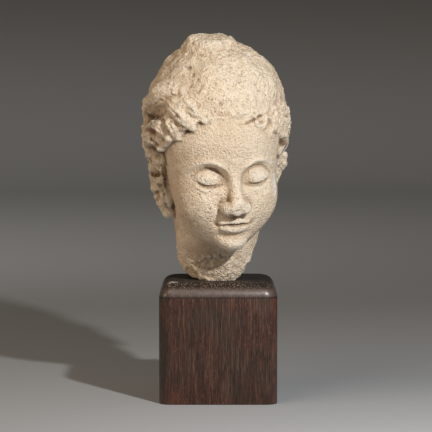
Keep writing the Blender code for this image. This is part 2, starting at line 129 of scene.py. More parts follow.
def smooth_path(points, count):
    """Evenly numbered points on a curve through the given ones; extra columns follow along."""
    p = np.array(points, float)
    ends = np.vstack([2 * p[0] - p[1], p, 2 * p[-1] - p[-2]])
    out = []
    for t in np.linspace(0, len(p) - 1, count):
        i = min(int(t), len(p) - 2)
        u = t - i
        a, b, c, d = ends[i : i + 4]
        out.append(
            0.5 * (2 * b + (c - a) * u + (2 * a - 5 * b + 4 * c - d) * u**2
                   + (3 * b - a - 3 * c + d) * u**3)
        )
    return np.array(out)


def beside(path, shift):
    """A path on a flat view moved sideways by a share of its own width, its third column."""
    along_it = np.gradient(path[:, :2], axis=0)
    along_it /= np.maximum(np.linalg.norm(along_it, axis=1), 1e-9)[:, None]
    across = np.column_stack([-along_it[:, 1], along_it[:, 0]])
    moved = path.copy()
    moved[:, :2] += across * path[:, 2:3] * shift
    return moved


def along(points, path, columns):
    """Nearest distance to a path, and the path's further columns there."""
    best = np.full(len(points), 1e9)
    values = np.zeros((len(points), path.shape[1] - columns))
    for a, b in zip(path, path[1:]):
        run = (b - a)[:columns]
        share = ((points - a[:columns]) @ run) / max(run @ run, 1e-12)
        share = np.clip(share, 0, 1)[:, None]
        gap = np.linalg.norm(points - a[:columns] - share * run, axis=1)
        nearer = gap < best
        best[nearer] = gap[nearer]
        values[nearer] = (a[columns:] + share * (b - a)[columns:])[nearer]
    return best, values


def near(points, path, columns, reach):
    """Which points lie in the box round a path, widened by reach."""
    low = path[:, :columns].min(0) - reach
    high = path[:, :columns].max(0) + reach
    return np.all((points > low) & (points < high), axis=1)


def stroke(view, points, count=12):
    """Height of a soft ridge drawn on a flat view through points of (u, v, width, height)."""
    path = smooth_path(points, count)
    found = near(view, path, 2, 2.6 * path[:, 2].max())
    height = np.zeros(len(view))
    gap, size = along(view[found], path, 2)
    height[found] = size[:, 1] * np.exp(-((gap / size[:, 0]) ** 2))
    return height


def tube(points, path):
    """Distance outside a tube of changing thickness, through points of (x, y, z, radius)."""
    gap, size = along(points, path, 3)
    return gap - size[:, 0]


def tube_joined(form, points, path, blend):
    """A tube added to the form."""
    found = near(points, path, 3, path[:, 3].max() + 2 * blend + 1)
    form[found] = joined(form[found], tube(points[found], path), blend)
    return form


# The head's masses, each by centre, radii and the width of its fillet
SKULL = (
    ((0, 4, 62), (25, 28, 28), 6),
    ((0, -4, 60), (22.5, 24.3, 22), 6),
    ((0, -5.5, 43), (20.8, 21.6, 25), 6),
    ((0, -9.5, 30.5), (15.2, 17, 12.5), 6),
    ((0, -21.3, 21.8), (5.6, 6, 4.4), 4),
)
NECK = (
    ((0.1, 4.5, 24), (17.3, 16.5, 30, 36), 6),
    ((0, 7, 36), (17, 17, 20), 6),
)
CAP = (
    ((-0.3, 3.5, 64), (28.7, 31, 34.3, 27), 6),
    ((3.2, 3, 76), (22.6, 24, 19), 3),
    ((0, 10, 50), (22.5, 21.5, 22), 5),
)
TOPKNOT = ((-2.6, 2.5, 88), (12.3, 13, 16, 8), 1.0)


def masses(points, table):
    """Several ellipsoids joined in turn."""
    form = ellipsoid(points, *table[0][:2])
    for centre, radii, blend in table[1:]:
        form = joined(form, ellipsoid(points, centre, radii), blend)
    return form


def skull_and_face(p):
    """The egg of the head, the face's broad planes and the broken neck."""
    both = mirrored(p)
    form = masses(p, SKULL)
    form = joined(form, ellipsoid(both, (11, -14.2, 38), (8.6, 10.2, 10.5)), 5)
    neck = masses(p, NECK)
    neck = trimmed(neck, p, (17.3, 0, 19.5), (0.83, 0.1, -0.55), 1.2)
    neck = trimmed(neck, p, (0, -6, 0.6), (0.03, 0.28, -0.96), 2)
    return joined(form, neck, 2.2)


def on_face(x, z, sunk=0.0):
    """The place on the face's broad planes at x and z, sunk a little below them."""
    depth = np.linspace(*FACE_DEPTHS, 281)
    line = np.column_stack([np.full(281, x), depth, np.full(281, z)])
    return x, depth[np.argmax(skull_and_face(line) < 0)] + sunk, z


BALL = ((EYE_WIDTH, -19.2, EYE - 0.9), (6.2, 5.5, 5.0))


def on_ball(x, z):
    """The place on the eyeball at x and z."""
    (x0, y0, z0), radii = BALL
    left = 1 - ((x - x0) / radii[0]) ** 2 - ((z - z0) / radii[2]) ** 2
    return x, y0 - radii[1] * math.sqrt(max(left, 0.05)), z


def with_eyes(form, p):
    """Hollows under arched brows, and lowered lids over the eyeballs."""
    both = mirrored(p)
    middle = EYE_WIDTH
    socket = ellipsoid(both, (middle + 0.3, -28.2, EYE + 0.2), (9.2, 5.8, 6.2), (0, -4, 12))
    form = cut(form, socket, 1.4)
    form = joined(form, ellipsoid(both, *BALL), 0.7)
    across = (both[:, 0] - middle) / (EYE_WIDTH / 2)
    edge = EYE - 2.9 + 0.8 * across**2 + 0.5 * across
    lid = ellipsoid(both, (middle, -18.7, EYE - 0.4), (6.5, 6.6, 5.3), (0, 0, 8))
    form = joined(form, cut(lid, p[:, 2] - edge, 0.5), 0.6)
    lower = [
        (*on_ball(middle - 4.6, EYE - 2.9), 0.7),
        (*on_ball(middle - 2.4, EYE - 4.3), 0.9),
        (*on_ball(middle + 0.6, EYE - 4.9), 1.0),
        (*on_ball(middle + 3.4, EYE - 4.2), 0.9),
        (*on_ball(middle + 5.0, EYE - 2.6), 0.7),
    ]
    form = tube_joined(form, both, smooth_path(lower, 12), 0.8)
    brow = stroke(both[:, [0, 2]], [
        (2.6, BROW - 3.6, 1.3, 0.5),
        (5.4, BROW - 0.2, 1.2, 1.0),
        (9.6, BROW + 1.6, 1.2, 1.1),
        (14.4, BROW + 0.4, 1.3, 0.9),
        (18.6, BROW - 3.2, 1.6, 0.4),
    ])
    return form - (p[:, 1] < FACE_DEPTHS[1]) * brow


def with_nose(form, p):
    """Bridge, tip, wings and nostrils."""
    both = mirrored(p)
    bridge = smooth_path([
        (0, -25.2, BROW - 0.5, 1.9),
        (0, -27.2, EYE - 0.5, 1.9),
        (0, -29.8, NOSE + 6, 2.4),
        (0, -31.9, NOSE + 2, 3.0),
    ], 9)
    form = tube_joined(form, p, bridge, 3.2)
    form = joined(form, ellipsoid(p, (0, -31.9, NOSE + 1.4), (3.3, 3.5, 3.0)), 1.6)
    form = joined(form, ellipsoid(both, (3.7, -29.2, NOSE + 1.0), (2.5, 3.6, 2.6)), 1.4)
    form = cut(form, ellipsoid(both, (2.0, -31.4, NOSE - 1.7), (1.1, 1.9, 1.4)), 0.8)
    view = both[:, [0, 2]]
    wing = stroke(view, [
        (4.4, NOSE + 4.3, 0.8, 0.3),
        (6.3, NOSE + 2.4, 0.8, 0.7),
        (6.4, NOSE - 0.4, 0.8, 0.6),
        (5.0, NOSE - 1.8, 0.8, 0.3),
    ])
    return form + (p[:, 1] < FACE_DEPTHS[1]) * wing


def with_mouth(form, p):
    """Closed lips meeting in a level line, and the hollow over the chin."""
    both = mirrored(p)
    upper = smooth_path([
        (*on_face(0, MOUTH + 1.1, -0.2), 1.3),
        (*on_face(1.8, MOUTH + 1.4, -0.2), 1.35),
        (*on_face(4.2, MOUTH + 0.7, -0.1), 1.1),
        (*on_face(6.6, MOUTH - 0.2, 0.4), 0.7),
    ], 10)
    lower = smooth_path([
        (*on_face(0, MOUTH - 2.0, -0.1), 1.8),
        (*on_face(3.0, MOUTH - 1.8, -0.1), 1.6),
        (*on_face(6.2, MOUTH - 0.9, 0.4), 0.7),
    ], 9)
    found = near(both, np.vstack([upper, lower]), 3, 4)
    lips = joined(tube(both[found], upper), tube(both[found], lower), 0.3)
    form[found] = joined(form[found], lips, 1.0)
    corner = ellipsoid(both, on_face(7.7, MOUTH - 0.5, -0.7), (1.2, 1.2, 1.4))
    form = cut(form, corner, 1.6)
    view = both[:, [0, 2]]
    philtrum = stroke(view, [(0, NOSE - 1.2, 1.0, 0.3), (0, MOUTH + 3.4, 1.1, 0.5)])
    hollow = stroke(view, [
        (5.6, MOUTH - 4.4, 1.6, 0.4),
        (2.8, MOUTH - 5.2, 1.8, 0.9),
        (0, MOUTH - 5.4, 1.8, 1.0),
    ])
    return form + (p[:, 1] < FACE_DEPTHS[1]) * (philtrum + hollow)


def turned_about(p):
    """Each point's bearing from the face's front, in degrees (the head's left is positive)."""
    return np.degrees(np.arctan2(p[:, 0], 4 - p[:, 1]))


HAIR_EDGE = (
    (0, HAIRLINE), (25, HAIRLINE - 0.4), (40, HAIRLINE - 5.2), (52, HAIRLINE - 11),
    (66, HAIRLINE - 14.5), (80, HAIRLINE - 17), (100, HAIRLINE - 25), (128, 34), (180, 31),
)


def with_hair(form, p):
    """A cap of hair, worn thin over the middle of the brow, and the stump of a topknot."""
    turned = turned_about(p)
    bearing = np.abs(turned)
    wave = 0.7 * np.sin(0.21 * turned + 0.6) + 0.4 * np.sin(0.47 * turned)
    edge = np.interp(bearing, *np.transpose(HAIR_EDGE)) + wave * (bearing < 60)
    worn = 1.3 * np.clip(1 - bearing / 34, 0, 1) * np.clip(1 - (p[:, 2] - edge) / 9, 0, 1)
    cap = cut(masses(p, CAP) + worn, p[:, 2] - edge, 1.6)
    form = joined(form, cap, 1.1)
    centre, radii, blend = TOPKNOT
    return joined(form, ellipsoid(p, centre, radii), blend)


# Locks round the face, each through points of bearing, height and thickness
LOCKS = (
    ((-61, 77.0, 2.0), (-53, 75.4, 4.2), (-44, 73.0, 4.8), (-37.5, 70.2, 3.2), (-33.5, 67.8, 1.4)),
    ((-43, 78.5, 1.4), (-36, 75.6, 2.3), (-29, 72.6, 1.9), (-23, 70.4, 1.0)),
    ((-57.5, 71.4, 1.3), (-53, 69.0, 2.6), (-48.5, 66.2, 2.4), (-45.4, 63.2, 1.0)),
    ((-79, 68.8, 1.6), (-71, 67.6, 3.1), (-62.5, 65.6, 2.9), (-55, 62.6, 1.3)),
    ((-97, 65.5, 1.8), (-88, 62.4, 4.4), (-78, 59.4, 3.4), (-68.5, 57.6, 1.5)),
    ((-46, 81.5, 2.0), (-58, 80.6, 4.4), (-74, 77.8, 5.0), (-89, 73.6, 4.2), (-99, 68, 2.0)),
    ((-104, 60, 1.6), (-97, 56.0, 3.6), (-90, 51.6, 2.8), (-86, 47.6, 1.3)),
    ((20.4, 70.8, 0.8), (20.6, 68.6, 1.1), (24, 67.2, 1.2), (28, 67.6, 1.2), (30, 69.8, 0.9)),
    ((40, 72.6, 1.2), (41.5, 69.4, 1.9), (38.5, 66.2, 1.8), (34.5, 63.6, 1.0)),
    ((50.5, 71.6, 1.3), (49, 68, 2.2), (44, 65.0, 1.9), (39, 62.4, 1.0)),
    ((57, 72.4, 1.4), (64, 70.8, 2.6), (68.5, 68.4, 2.4), (63, 66.0, 1.2)),
    ((62, 67.0, 1.3), (69.5, 64.6, 3.0), (69, 61.2, 2.3), (60, 60.6, 1.1)),
    ((74, 60.6, 1.3), (67.5, 57.0, 2.8), (58.5, 54.4, 2.0), (52, 52.4, 1.0)),
    ((80, 69.4, 1.3), (89, 63.0, 3.5), (88, 56.4, 3.1), (80, 51.4, 1.6)),
    ((99, 66, 1.4), (105, 58.6, 3.4), (100, 52.2, 2.6)),
)
# Where the grooves between a lock's strands run, in shares of its thickness, and their width
STRANDS = (-0.55, 0.0, 0.5)
STRAND_WIDTH = 0.5

# Hollows under and between the locks: bearing, height, thickness
LOCK_HOLLOWS = (
    ((-58, 74.0, 1.0), (-65, 72.6, 2.3), (-74, 70.8, 2.6), (-84, 68.0, 2.2), (-95, 66.4, 1.2)),
    ((-88, 56.8, 0.9), (-77, 55.0, 1.5), (-70.5, 53.2, 1.7), (-69, 49.5, 1.1)),
    ((60, 59.0, 1.2), (54.5, 58.2, 1.7), (51.5, 56.0, 1.0)),
)


# How far a degree of bearing goes round the head
ROUND = math.radians(28)


def unrolled(p):
    """The points on a flat view of the head's surface: along it sideways, and height."""
    return np.column_stack([turned_about(p) * ROUND, p[:, 2]])


def laid_out(line):
    """A line that starts with bearings, on the flat view of the surface."""
    return [(bearing * ROUND, *rest) for bearing, *rest in line]


def on_cap(bearing, height, proud=0.0):
    """The place on the cap of hair at a bearing and height."""
    (x0, y0, z0), radii, _ = CAP[0]
    tall = radii[2] if height > z0 else radii[3]
    shrink = math.sqrt(max(1 - ((height - z0) / tall) ** 2, 0))
    angle = math.radians(bearing)
    x = x0 + (radii[0] * shrink + proud) * math.sin(angle)
    y = y0 - (radii[1] * shrink + proud) * math.cos(angle)
    return x, y, height


def with_locks(form, p):
    """Heavy comma-shaped locks, each combed into strands, and the hollows under them."""
    for lock in LOCKS:
        path = smooth_path([(*on_cap(b, z, -0.4 * r), r) for b, z, r in lock], 10)
        form = tube_joined(form, p, path, 1.3)
    for line in LOCK_HOLLOWS:
        hollow = smooth_path([(*on_cap(b, z, 0.6), r) for b, z, r in line], 10)
        found = near(p, hollow, 3, 6)
        form[found] = cut(form[found], tube(p[found], hollow), 0.9)
    view = unrolled(p)
    for number, lock in enumerate(LOCKS):
        line = smooth_path(laid_out(lock), 9)
        for place, shift in enumerate(STRANDS):
            groove = beside(line, shift + 0.12 * math.sin(2.3 * number + place))
            depth = (0.10 + 0.05 * math.sin(1.7 * number + 2.1 * place)) * groove[:, 2:]
            sizes = np.column_stack([groove[:, :2], np.full(9, STRAND_WIDTH), depth])
            form = form + stroke(view, sizes, 9)
    return form


# The ear's rim from its root over the top and down to the lobe: place and thickness
EAR_RIM = (
    (21.4, -0.6, 46, 1.2), (23.2, -0.8, 50.2, 1.5), (25.2, 2.4, 52.8, 1.7), (26.0, 6.2, 50.6, 1.8),
    (25.5, 7.6, 45.5, 1.8), (24.8, 7.0, 39, 1.8), (23.4, 5.6, 33.5, 1.9), (20.4, 3.8, 28.4, 2.3),
)
EAR_PLATE = ((22.8, 3.6, 42), (3.0, 5.6, 13.2))
EAR_TILT = (0, 12, -12)

# Hollows of the ear: place and radii
EAR_HOLLOWS = (
    ((27.0, 4.2, 49.4), (1.3, 1.0, 2.4)),
    ((26.0, 2.2, 44.8), (2.4, 4.4, 1.7)),
    ((24.6, 0.6, 39.6), (1.5, 1.6, 2.4)),
    ((24.8, 4.2, 35.6), (1.8, 1.9, 2.2)),
)

# The deep line between ear and cheek: place and thickness
EAR_FRONT = (
    (24.4, -4.6, 53.0, 0.9), (23.4, -2.9, 48.0, 1.2), (22.4, -2.3, 42.5, 1.2),
    (21.2, -1.7, 36.5, 1.0), (19.4, -1.3, 30.0, 0.8),
)

# What stands of the broken rim's top: place and thickness
EAR_STUMP = (
    (25.4, 1.8, 50.8, 1.7), (27.6, 3.4, 48.6, 2.1), (26.6, 3.8, 44.8, 1.7), (25.0, 4.2, 41, 1.4),
)


def with_ears(form, p):
    """Long ears standing a little off the head, the rim of one of them broken away."""
    both = mirrored(p)
    ears = ellipsoid(both, *EAR_PLATE, EAR_TILT)
    ears = tube_joined(ears, both, smooth_path(EAR_RIM, 24), 1.2)
    for place, radii in EAR_HOLLOWS:
        ears = cut(ears, ellipsoid(both, place, radii, EAR_TILT), 1.0)
    beyond = np.where(p[:, 0] > 0, p[:, 0] - 26.2 + 0.16 * (46 - p[:, 2]), -20.0)
    ears = tube_joined(cut(ears, -beyond, 0.8), p, smooth_path(EAR_STUMP, 10), 0.8)
    form = joined(form, ears, 1.4)
    front = smooth_path(EAR_FRONT, 14)
    found = near(both, front, 3, 4)
    form[found] = cut(form[found], tube(both[found], front), 0.7)
    return form


def with_breaks(form, p):
    """The snapped topknot, the chipped nose and the unevenness of a worn crown."""
    worn = np.clip((p[:, 2] - HAIRLINE) / 6, 0, 1)
    swell = np.sin(0.33 * p[:, 0] + 0.9) * np.sin(0.29 * p[:, 1] + 0.4) * np.sin(0.37 * p[:, 2])
    form = form + 0.55 * worn * swell
    form = trimmed(form, p, (-1, 3, 99.4), (0.05, -0.04, 1), 1.1)
    return trimmed(form, p, (0, -33.6, NOSE + 1), (0.25, -0.94, -0.2), 0.8)


def head_form(p):
    """How far each point lies outside the head, in parts."""
    form = skull_and_face(p)
    form = with_eyes(form, p)
    form = with_nose(form, p)
    form = with_mouth(form, p)
    form = with_hair(form, p)
    form = with_ears(form, p)
    form = with_locks(form, p)
    return with_breaks(form, p)


def finish_modifier(obj, kind, **settings):
    """Adds a modifier to the piece and applies it."""
    modifier = obj.modifiers.new(kind.title(), kind)
    for key, value in settings.items():
        setattr(modifier, key, value)
    bpy.context.view_layer.objects.active = obj
    bpy.ops.object.modifier_apply(modifier=modifier.name)


def vectors_of(mesh, kind):
    """One vector for each of a mesh's points: its place (co) or its normal."""
    flat = np.empty(len(mesh.vertices) * 3)
    mesh.vertices.foreach_get(kind, flat)
    return flat.reshape(-1, 3)


def points_of(mesh):
    return vectors_of(mesh, "co")


def normals_of(mesh):
    return vectors_of(mesh, "normal")


PROBE = 0.05


def shape_to(obj, form, passes, reach):
    """Moves the skin's points along their normals until they lie on the form, easing kinks."""
    for turn in range(passes):
        if turn == passes // 2:
            finish_modifier(obj, "SMOOTH", factor=0.3, iterations=2)
        mesh = obj.data
        p, normals = points_of(mesh), normals_of(mesh)
        here = form(p)
        slope = (form(p + PROBE * normals) - here) / PROBE
        step = np.clip(here / np.maximum(slope, 0.5), -reach, reach)
        mesh.vertices.foreach_set("co", (p - normals * step[:, None]).ravel())
        mesh.update()


def eased(value, low, high):
    """0 below low, 1 above high and a smooth rise between."""
    t = np.clip((value - low) / (high - low), 0, 1)
    return t * t * (3 - 2 * t)


def rough(points, size, octaves, seed):
    """Natural unevenness whose lumps are about size across, between about -1 and 1."""
    shift = Vector((seed, 3.7 * seed, -2.1 * seed))
    return np.array([noise.fractal(Vector(p) / size + shift, 0.9, 2.1, octaves) for p in points])


def dents(points, places):
    """Depth of small round hollows, each a place, radius and depth."""
    depth = np.zeros(len(points))
    for place, radius, deep in places:
        gap = np.linalg.norm(points - np.array(place), axis=1) / radius
        depth += deep * np.clip(1.15 - gap**2, 0, 1) ** 1.5
    return depth


# Larger pits of the crown where curls have dropped off: bearing, height, radius and depth
CROWN_PITS = (
    (-46, 89.6, 1.1, 0.6), (-39, 87.2, 1.0, 0.8), (-33, 85.7, 0.9, 0.8), (-28, 82.9, 0.9, 0.6),
    (-38, 83.4, 0.9, 0.6), (-30, 81.2, 1.1, 0.8), (-10, 77.2, 0.8, 1.0), (-41, 94, 0.8, 0.6),
    (-8, 93, 0.9, 0.6), (-24, 89.2, 0.8, 0.6), (-15, 84.5, 0.7, 0.5), (9, 85, 0.7, 0.5),
    (14, 78.4, 0.6, 0.5), (30, 80.8, 0.8, 0.5), (5, 90, 0.7, 0.5), (-55, 83, 1.1, 0.6),
)

# How many small pits are strewn over the crown and the neck, and the seed of their places
CROWN_SPECKS = 110
NECK_SPECKS = 14
SPECK_SEED = 11

# Lines cut along the hair's worn edge over the brow, its crack, and between the locks beside it:
# bearing, height, width and depth
HAIR_LINES = (
    ((-27, 72.2, 0.5, 0.2), (-21, 70.5, 0.45, 0.3), (-14, 70.9, 0.45, 0.25),
     (-7, 70.3, 0.4, 0.25), (0, 69.6, 0.4, 0.3), (5, 69.1, 0.4, 0.4)),
    ((2.8, 68.9, 0.4, 0.3), (7.6, 69.1, 0.45, 0.5), (12.8, 69.6, 0.5, 0.7),
     (17, 70.7, 0.5, 0.9), (22.8, 71.3, 0.5, 1.0), (26, 72.2, 0.4, 0.4)),
    ((21, 72.6, 0.4, 0.3), (18.2, 70.2, 0.4, 0.4), (20, 67.0, 0.45, 0.35), (24, 66.0, 0.45, 0.1)),
    ((36.5, 70.5, 0.4, 0.5), (35.5, 67.0, 0.45, 0.6), (32.8, 63.4, 0.5, 0.9)),
    ((45.5, 71.5, 0.4, 0.5), (44, 67.8, 0.45, 0.6), (39.5, 64.6, 0.45, 0.7),
     (35.5, 62.0, 0.5, 0.9)),
)

# Brown soil and painted shade in the hollows, and painted shade on the throat under the chin:
# bearing, height, width and strength
SOIL_AND_SHADE = (
    ((-88, 68.6, 2.4, 0.7), (-76, 68.2, 2.6, 0.9), (-64, 69.2, 1.8, 0.7), (-56, 70.0, 0.8, 0.3)),
    ((-79, 64.2, 1.0, 0.5), (-72, 63.8, 1.2, 0.9), (-66, 64.2, 0.9, 0.5)),
    ((-92, 57.0, 1.6, 0.6), (-80, 56.6, 2.0, 1.0), (-70, 56.0, 2.0, 1.0), (-68, 52.0, 1.4, 1.0),
     (-74, 48.0, 1.0, 1.0), (-78, 43.0, 0.9, 1.0), (-80, 37.0, 0.8, 0.8), (-84, 31.0, 0.7, 0.6)),
    ((-72, 60.4, 0.9, 0.9), (-66, 59.2, 1.0, 0.6)),
    ((-99, 43.6, 1.3, 0.9), (-89, 44.2, 1.3, 1.0), (-84, 43.4, 0.8, 0.7)),
    ((-43, 67.4, 0.8, 0.3), (-36, 66.2, 1.0, 0.9), (-31, 66.0, 0.8, 0.5)),
    ((-33, 76.2, 0.6, 0.4), (-30, 74.0, 0.6, 0.5), (-27.5, 72.4, 0.5, 0.3)),
    ((48, 60.5, 1.0, 0.6), (55, 58.0, 1.6, 1.0), (61, 56.5, 1.5, 1.0), (54, 54.0, 0.9, 0.6)),
    ((46, 53.2, 1.0, 0.8), (52, 52.2, 1.0, 0.8)),
    ((34, 64.2, 0.6, 0.4), (38, 63.2, 0.8, 0.9), (41, 62.4, 0.6, 0.5)),
    ((63, 61.0, 0.7, 0.5), (70, 60.2, 0.8, 0.9)),
    ((7, 69.1, 0.5, 0.2), (13, 69.7, 0.5, 0.3), (18, 70.8, 0.5, 0.6), (23, 71.4, 0.6, 0.8)),
    # The throat under the chin: painted shade, not soil
    ((-62, 14, 4.5, 0.22), (-42, 13, 5.5, 0.4), (-24, 13.5, 5.5, 0.42), (-6, 14, 3.5, 0.2)),
)

# A fresh white chip down the edge of the cheek: bearing, height, width and strength
CHIP = ((38, 46.5, 0.8, 1.0), (37, 43.5, 1.3, 1.0), (36, 40.5, 1.2, 1.0), (35, 38.5, 0.7, 1.0))


def by_eye(*line):
    """A line given from the middle of the eye: sideways, up, width and depth."""
    return [(EYE_WIDTH + x, EYE + z, width, depth) for x, z, width, depth in line]


# Lines on the face's front view, the same on both halves: the lower lid's roll and the groove
# under it, the upper lid's edge and its fold, and the meeting of the lips
FACE_LINES = (
    by_eye((-4.8, -3.4, 0.6, -0.05), (-2.4, -4.5, 0.7, -0.4), (0.6, -4.8, 0.7, -0.45),
           (3.5, -4.0, 0.7, -0.4), (5.8, -2.4, 0.6, -0.05)),
    by_eye((-3.0, -6.0, 0.9, 0.1), (0.6, -6.5, 1.0, 0.35), (4.4, -5.6, 0.9, 0.1)),
    by_eye((-4.9, -2.5, 0.45, 0.25), (-2.5, -3.1, 0.5, 0.8), (0.5, -3.3, 0.5, 0.9),
           (3.2, -2.6, 0.5, 0.8), (5.4, -1.2, 0.45, 0.25)),
    by_eye((-5.2, 0.4, 0.5, 0.2), (-2.8, 3.0, 0.5, 0.5), (0.6, 4.1, 0.5, 0.55),
           (4.0, 3.0, 0.5, 0.5), (6.6, 0.2, 0.5, 0.2)),
    [(0, MOUTH - 0.3, 0.45, 0.9), (2.6, MOUTH - 0.1, 0.45, 0.85),
     (5.2, MOUTH - 0.4, 0.45, 0.7), (7.4, MOUTH - 0.4, 0.5, 0.4)],
)

# How far large, medium and fine unevenness stands out in each region
RELIEF = {
    "skin": (0.08, 0.06, 0.07),
    "crown": (0.40, 0.07, 0.10),
    "knob": (0.0, 0.35, 0.1),
    "fringe": (0.22, 0.32, 0.15),
    "neck": (0.44, 0.34, 0.18),
    "ears": (0.0, 0.42, 0.22),
}
LINE_POINTS = 16


def regions_of(p):
    """How far each point belongs to each region of the head, from 0 to 1."""
    bearing = np.abs(turned_about(p))
    edge = np.interp(bearing, *np.transpose(HAIR_EDGE))
    hair = eased(p[:, 2], edge - 1, edge + 3)
    crown = eased(p[:, 2], 71, 79) * (1 - 0.45 * eased(bearing, 100, 150))
    return {
        "skin": 1.0,
        "crown": crown,
        "knob": crown * eased(p[:, 2], 91, 95),
        "fringe": (hair - crown).clip(0),
        "neck": eased(-p[:, 2], -15.5, -12),
        "ears": eased(np.abs(p[:, 0]), 21, 23) * eased(p[:, 1], -5, -2) * (p[:, 2] < 54),
        "back": eased(bearing, 100, 125) * hair * (1 - crown),
    }


def specks():
    """Small pits strewn over the crown and the neck, each a place, radius and depth."""
    pits = []
    chance = np.random.default_rng(SPECK_SEED)
    for _ in range(CROWN_SPECKS):
        b, z = chance.uniform(-178, 178), chance.uniform(73, 97)
        pits.append((on_cap(b, z, -0.4), chance.uniform(0.4, 0.7), chance.uniform(0.1, 0.3)))
    for _ in range(NECK_SPECKS):
        b, z = chance.uniform(-150, 150), chance.uniform(2, 14)
        x, y = 16 * math.sin(math.radians(b)), 4 - 15 * math.cos(math.radians(b))
        pits.append(((x, y, z), chance.uniform(0.6, 1.3), chance.uniform(0.2, 0.5)))
    return pits


def weathered(mesh):
    """Wears the fine head by region, strokes and pits, and gives each point's share of soil and
    painted shade.
    """
    p, normals = points_of(mesh), normals_of(mesh)
    region = regions_of(p)
    view, front = unrolled(p), mirrored(p)[:, [0, 2]]
    lumps, medium, fine = rough(p, 7.5, 3, 1.3), rough(p, 2.6, 3, 4.2), rough(p, 1.1, 2, 7.7)
    out = sum(
        region[name] * (large * lumps + middling * medium + small * fine)
        for name, (large, middling, small) in RELIEF.items()
    )

    # Low combed strands round the back
    turned = turned_about(p)
    wave = 1.6 * np.sin(p[:, 2] / 6.5 + 0.03 * turned) + 0.8 * lumps
    out += 0.26 * region["back"] * np.sin(np.radians(turned) * 21 + wave)

    # A small sideways wander, so that cut lines and pits are never quite even
    wander = np.column_stack([rough(p, 1.8, 2, 6.6), rough(p, 1.8, 2, 8.8)])
    for line in HAIR_LINES:
        cut_in = stroke(view + 0.25 * wander, laid_out(line), LINE_POINTS)
        out -= cut_in * (p[:, 1] < 0) * (0.75 + 0.5 * medium)
    for line in FACE_LINES:
        out -= stroke(front, line, LINE_POINTS) * (p[:, 1] < -12)
    pits = [(on_cap(b, z), radius, deep) for b, z, radius, deep in CROWN_PITS]
    out -= dents(p + 0.45 * np.column_stack([wander, fine]), pits + specks())

    # The locks, ears, crown and neck drift a little sideways, as worn shapes do
    drift = np.column_stack([rough(p, 3.4, 2, seed) for seed in (2.2, 5.1, 9.4)])
    loose = np.maximum(region["fringe"], 1.2 * region["ears"])
    drift *= (0.8 * loose + 0.3 * region["crown"] + 0.2 * region["neck"])[:, None]
    mesh.vertices.foreach_set("co", (p + normals * out[:, None] + drift).ravel())
    mesh.update()

    # Dark brown for soil and painted shade in the hollows, round the pits and on the throat
    soil_and_shade = sum(stroke(view, laid_out(line), LINE_POINTS) for line in SOIL_AND_SHADE)
    in_pits = dents(p, [(place, 1.7 * radius, 1.0) for place, radius, _ in pits])
    in_pits *= eased(medium + fine, -0.1, 0.6)
    return (1.25 * soil_and_shade * eased(-p[:, 1], -12, -2) + 0.8 * in_pits).clip(0, 1)


def hollowness(mesh, rounds):
    """How far each point lies in a hollow, against the mesh smoothed by so many rounds."""
    p = points_of(mesh)
    ends = np.empty(len(mesh.edges) * 2, np.int64)
    mesh.edges.foreach_get("vertices", ends)
    a, b = ends[0::2], ends[1::2]
    count = np.bincount(np.concatenate([a, b]), minlength=len(p))[:, None]
    smooth = p.copy()
    for _ in range(rounds):
        total = [
            np.bincount(a, smooth[b, k], len(p)) + np.bincount(b, smooth[a, k], len(p))
            for k in range(3)
        ]
        smooth = np.column_stack(total) / count
    return np.einsum("ij,ij->i", smooth - p, normals_of(mesh))


def remember(mesh, name, values):
    """Keeps one number per point for the finish to read."""
    layer = mesh.attributes.new(name, "FLOAT", "POINT")
    layer.data.foreach_set("value", np.asarray(values, np.float32))


# The head: a copy of the plain one, skinned anew and finely in its own upright frame, drawn onto
# the form, thinned where it is plain, then worn
FINE_SKIN = 0.43
MOST_TRIANGLES = 190000
NOSE_TIP = np.array((0, -32, NOSE + 2))

bpy.ops.object.select_all(action="DESELECT")
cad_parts["stucco_head"].select_set(True)
bpy.context.view_layer.objects.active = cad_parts["stucco_head"]
bpy.ops.object.duplicate()
head = bpy.context.object
head.name = head.data.name = "worn_stucco_head"
for key in list(head.keys()):
    del head[key]
head.parent = None
bpy.ops.object.mode_set(mode="EDIT")
bpy.ops.mesh.select_all(action="SELECT")
bpy.ops.mesh.remove_doubles(threshold=1e-6)
bpy.ops.object.mode_set(mode="OBJECT")
head.data.transform(Matrix.Scale(1 / PART, 4) @ POSE.inverted())
finish_modifier(head, "REMESH", mode="VOXEL", voxel_size=FINE_SKIN, adaptivity=0)
shape_to(head, head_form, passes=5, reach=0.8)
group = head.vertex_groups.new(name="Plain")
behind = eased(points_of(head.data)[:, 1], -6, 10)
for index, weight in enumerate(0.03 + 0.97 * behind):
    group.add([index], float(weight), "REPLACE")
kept = min(1, MOST_TRIANGLES / (2 * len(head.data.polygons)))
finish_modifier(head, "DECIMATE", ratio=kept, vertex_group="Plain", vertex_group_factor=0.1)
head.vertex_groups.clear()

# What the finish reads: hollows, pitted skin of one cheek and the nose, crown, soil with painted
# shade, and the chip
soil_and_shade = weathered(head.data)
fine_hollow, wide_hollow = hollowness(head.data, 5), hollowness(head.data, 60)
spots = points_of(head.data)
x, y, z = spots.T
cheek = eased(-x, 3, 12) * eased(-y, 12, 18) * (1 - eased(z, 47, 51))
tip = np.exp(-(np.linalg.norm(spots - NOSE_TIP, axis=1) / 6) ** 2)
remember(head.data, "recess", np.clip(0.28 * fine_hollow / 0.12 + wide_hollow / 1.6, -1, 1))
remember(head.data, "pitted", np.clip(cheek + tip, 0, 1) * eased(z, 14, 18))
remember(head.data, "crown", eased(z, 70, 77))
remember(head.data, "soil_and_shade", soil_and_shade)
remember(head.data, "fresh", stroke(unrolled(spots), laid_out(CHIP)) * eased(-y, 8, 12))
head.data.transform(POSE @ Matrix.Scale(PART, 4))
head.data.shade_smooth()


